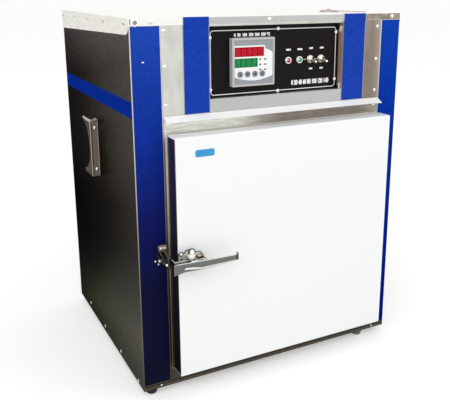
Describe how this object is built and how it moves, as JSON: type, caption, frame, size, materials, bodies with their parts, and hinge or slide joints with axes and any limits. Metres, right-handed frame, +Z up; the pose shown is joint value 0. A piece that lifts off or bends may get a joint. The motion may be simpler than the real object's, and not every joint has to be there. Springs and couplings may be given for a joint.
{
  "type": "dry heat sterilizer",
  "caption": "Bench hot air oven for dry heat sterilizing: steel cabinet on feet, side-hinged insulated door with lever latch, digital control panel, fan chamber and shelves.",
  "frame": {"origin": "middle of the underside, on the surface that the feet stand on", "axes": "+Z up, -Y out of the door, +X to the right of someone facing the door"},
  "size_m": [0.6576, 0.618, 0.7821],
  "materials": {
    "dark_panel_steel": "dark polished stainless sheet",
    "stainless": "brushed stainless sheet",
    "cover_stainless": "satin stainless sheet",
    "chrome_fitting": "bright chrome plating",
    "blue_finish": "satin blue paint on sheet steel",
    "white_enamel": "smooth white powder coat",
    "black_plate": "black screen-printed plate",
    "controller_abs": "light grey moulded plastic",
    "button_grey": "grey moulded plastic",
    "red_lens": "clear red plastic",
    "green_lens": "clear green plastic",
    "black_rubber": "black moulded rubber",
    "gasket_silicone": "red-brown silicone",
    "mineral_wool": "mineral wool board",
    "motor_paint": "grey painted motor case",
    "shutter_metal": "pinkish plated steel strip"
  },
  "bodies": {
    "cabinet": {"foot_front_left": "black_rubber", "foot_front_right": "black_rubber", "foot_back_left": "black_rubber", "foot_back_right": "black_rubber", "base_tray": "stainless", "side_panel_left": "dark_panel_steel", "side_panel_right": "dark_panel_steel", "back_panel": "dark_panel_steel", "cable_gland": "black_rubber", "corner_post_left": "blue_finish", "corner_post_right": "blue_finish", "top_cover": "cover_stainless", "front_frame": "stainless", "control_fascia": "stainless", "accent_strip_left": "blue_finish", "accent_strip_right": "blue_finish", "drip_rail": "stainless", "side_handle_left": "chrome_fitting", "side_handle_right": "chrome_fitting", "control_plate": "black_plate", "controller_case": "controller_abs", "lamp_bezel_red": "chrome_fitting", "lamp_lens_red": "red_lens", "lamp_bezel_green": "chrome_fitting", "lamp_lens_green": "green_lens", "toggle_body_mains": "chrome_fitting", "toggle_body_fan": "chrome_fitting", "chamber_liner": "stainless", "insulation_sleeve": "mineral_wool", "insulation_back": "mineral_wool", "heater_ring": "stainless", "fan_motor": "motor_paint", "fan_baffle": "stainless", "shelf_rack_left": "stainless", "shelf_rack_right": "stainless", "shelf_lower": "stainless", "shelf_upper": "stainless", "temperature_probe": "stainless", "vent_tube": "stainless", "hinge_frame_leaf_lower": "stainless", "hinge_pin_lower": "stainless", "hinge_frame_leaf_upper": "stainless", "hinge_pin_upper": "stainless", "latch_strike": "chrome_fitting"},
    "door": {"door_shell": "white_enamel", "door_liner": "stainless", "door_insulation": "mineral_wool", "door_gasket": "gasket_silicone", "hinge_door_leaf_lower": "stainless", "hinge_door_leaf_upper": "stainless", "latch_base": "chrome_fitting"},
    "latch": {"latch_lever": "chrome_fitting"},
    "fan": {"fan_wheel": "stainless"},
    "damper": {"vent_damper": "shutter_metal"},
    "mains_switch": {"toggle_lever_mains": "chrome_fitting"},
    "fan_switch": {"toggle_lever_fan": "chrome_fitting"},
    "button_1": {"controller_button_1": "button_grey"},
    "button_2": {"controller_button_2": "button_grey"},
    "button_3": {"controller_button_3": "button_grey"},
    "button_4": {"controller_button_4": "button_grey"}
  },
  "joints": [
    {"name": "door_hinge", "type": "hinge", "parent": "cabinet", "child": "door", "pos_m": [0.2745, -0.2393, 0.3049], "axis": [0, 0, 1], "range_deg": [0, 115]},
    {"name": "latch_pivot", "type": "hinge", "parent": "door", "child": "latch", "pos_m": [-0.2225, -0.2855, 0.31194], "axis": [0, 0, -1], "range_deg": [0, 20], "stiffness_Nm_per_rad": 0.6},
    {"name": "fan_spin", "type": "hinge", "parent": "cabinet", "child": "fan", "pos_m": [0.0115, 0.1527, 0.3049], "axis": [0, 1, 0], "continuous": true},
    {"name": "damper_turn", "type": "hinge", "parent": "cabinet", "child": "damper", "pos_m": [0.1945, -0.1193, 0.7783], "axis": [0, 0, 1], "range_deg": [0, 90]},
    {"name": "mains_toggle", "type": "hinge", "parent": "cabinet", "child": "mains_switch", "pos_m": [0.08743, -0.2171, 0.68282], "axis": [-1, 0, 0], "range_deg": [0, 24]},
    {"name": "fan_toggle", "type": "hinge", "parent": "cabinet", "child": "fan_switch", "pos_m": [0.11426, -0.2171, 0.68282], "axis": [-1, 0, 0], "range_deg": [0, 24]},
    {"name": "button_1_press", "type": "slide", "parent": "cabinet", "child": "button_1", "axis": [0, 1, 0], "range_m": [0, 0.0008], "stiffness_N_per_m": 400, "springref_m": -0.0004},
    {"name": "button_2_press", "type": "slide", "parent": "cabinet", "child": "button_2", "axis": [0, 1, 0], "range_m": [0, 0.0008], "stiffness_N_per_m": 400, "springref_m": -0.0004},
    {"name": "button_3_press", "type": "slide", "parent": "cabinet", "child": "button_3", "axis": [0, 1, 0], "range_m": [0, 0.0008], "stiffness_N_per_m": 400, "springref_m": -0.0004},
    {"name": "button_4_press", "type": "slide", "parent": "cabinet", "child": "button_4", "axis": [0, 1, 0], "range_m": [0, 0.0008], "stiffness_N_per_m": 400, "springref_m": -0.0004}
  ]
}
